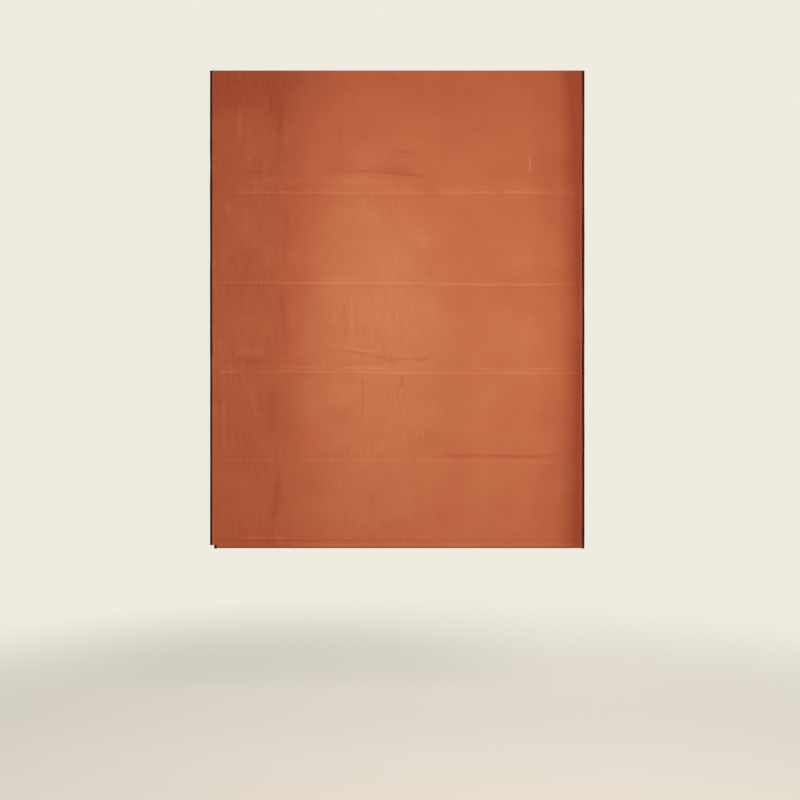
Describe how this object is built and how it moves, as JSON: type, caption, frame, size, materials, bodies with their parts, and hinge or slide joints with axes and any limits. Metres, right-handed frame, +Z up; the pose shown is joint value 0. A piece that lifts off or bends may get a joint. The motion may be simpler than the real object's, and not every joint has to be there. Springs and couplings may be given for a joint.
{
  "type": "roman blind",
  "caption": "Cordless roman blind in terracotta velvet with dark side edges, let down flat, with its headrail, spools, ribs and bottom bar.",
  "frame": {"origin": "middle of the four bracket screw holes, on the wall plane", "axes": "+Z up, +X to the right seen from the room, -Y from the wall into the room"},
  "size_m": [1, 0.0438, 1.2762],
  "materials": {
    "clear_plastic": "gloss",
    "dark_plastic": "satin",
    "fibreglass": "satin",
    "lining": "matte",
    "pocket": "matte",
    "tape": "matte",
    "velvet": "matte",
    "white_bar": "satin",
    "white_plastic": "satin",
    "white_rail": "satin",
    "white_steel": "satin",
    "zinc_steel": "satin"
  },
  "bodies": {
    "headrail_body": {"headrail": "white_rail", "end_cap_left": "white_plastic", "end_cap_right": "white_plastic", "wall_bracket_left": "white_steel", "wall_bracket_right": "white_steel", "hook_tape": "tape", "loop_tape": "tape", "lining_cloth": "lining", "face_cloth": "velvet", "spool_cradle_left": "white_plastic", "spool_cradle_centre": "white_plastic", "spool_cradle_right": "white_plastic", "spring_case": "dark_plastic", "spring_cover_left": "white_plastic", "spring_cover_right": "white_plastic"},
    "shaft_body": {"lift_shaft": "zinc_steel", "cord_spool_left": "white_plastic", "cord_spool_centre": "white_plastic", "cord_spool_right": "white_plastic", "set_collars": "zinc_steel", "grub_screws": "zinc_steel", "spring_hubs": "white_plastic"},
    "bottom_bar_body": {"bottom_bar": "white_bar", "bar_cap_left": "dark_plastic", "bar_cap_right": "dark_plastic", "cord_anchors": "clear_plastic"},
    "rib_1_body": {"rib_pocket_1": "pocket", "rib_rod_1": "fibreglass", "rib_tips_1": "dark_plastic", "rib_eyes_1": "clear_plastic"},
    "rib_2_body": {"rib_pocket_2": "pocket", "rib_rod_2": "fibreglass", "rib_tips_2": "dark_plastic", "rib_eyes_2": "clear_plastic"},
    "rib_3_body": {"rib_pocket_3": "pocket", "rib_rod_3": "fibreglass", "rib_tips_3": "dark_plastic", "rib_eyes_3": "clear_plastic"},
    "rib_4_body": {"rib_pocket_4": "pocket", "rib_rod_4": "fibreglass", "rib_tips_4": "dark_plastic", "rib_eyes_4": "clear_plastic"}
  },
  "joints": [
    {"name": "bar_lift", "type": "slide", "parent": "headrail_body", "child": "bottom_bar_body", "axis": [0, 0, 1], "range_m": [0, 1.01], "deforming": ["face_cloth", "lining_cloth"]},
    {"name": "rib_1_lift", "type": "slide", "parent": "headrail_body", "child": "rib_1_body", "axis": [0, 0, 1], "range_m": [0, 0.2628]},
    {"name": "rib_2_lift", "type": "slide", "parent": "headrail_body", "child": "rib_2_body", "axis": [0, 0, 1], "range_m": [0, 0.4541]},
    {"name": "rib_3_lift", "type": "slide", "parent": "headrail_body", "child": "rib_3_body", "axis": [0, 0, 1], "range_m": [0, 0.6453]},
    {"name": "rib_4_lift", "type": "slide", "parent": "headrail_body", "child": "rib_4_body", "axis": [0, 0, 1], "range_m": [0, 0.8366]},
    {"name": "shaft_spin", "type": "hinge", "parent": "headrail_body", "child": "shaft_body", "pos_m": [0, -0.021, -0.0006], "axis": [-1, 0, 0], "range_deg": [0, 5770]}
  ],
  "couplings": [
    {"joint": "rib_1_lift", "follows": "bar_lift", "ratio": 0.25917},
    {"joint": "rib_2_lift", "follows": "bar_lift", "ratio": 0.44856},
    {"joint": "rib_3_lift", "follows": "bar_lift", "ratio": 0.63796},
    {"joint": "rib_4_lift", "follows": "bar_lift", "ratio": 0.82735},
    {"joint": "shaft_spin", "follows": "bar_lift", "rad_per_m": 99.502}
  ]
}
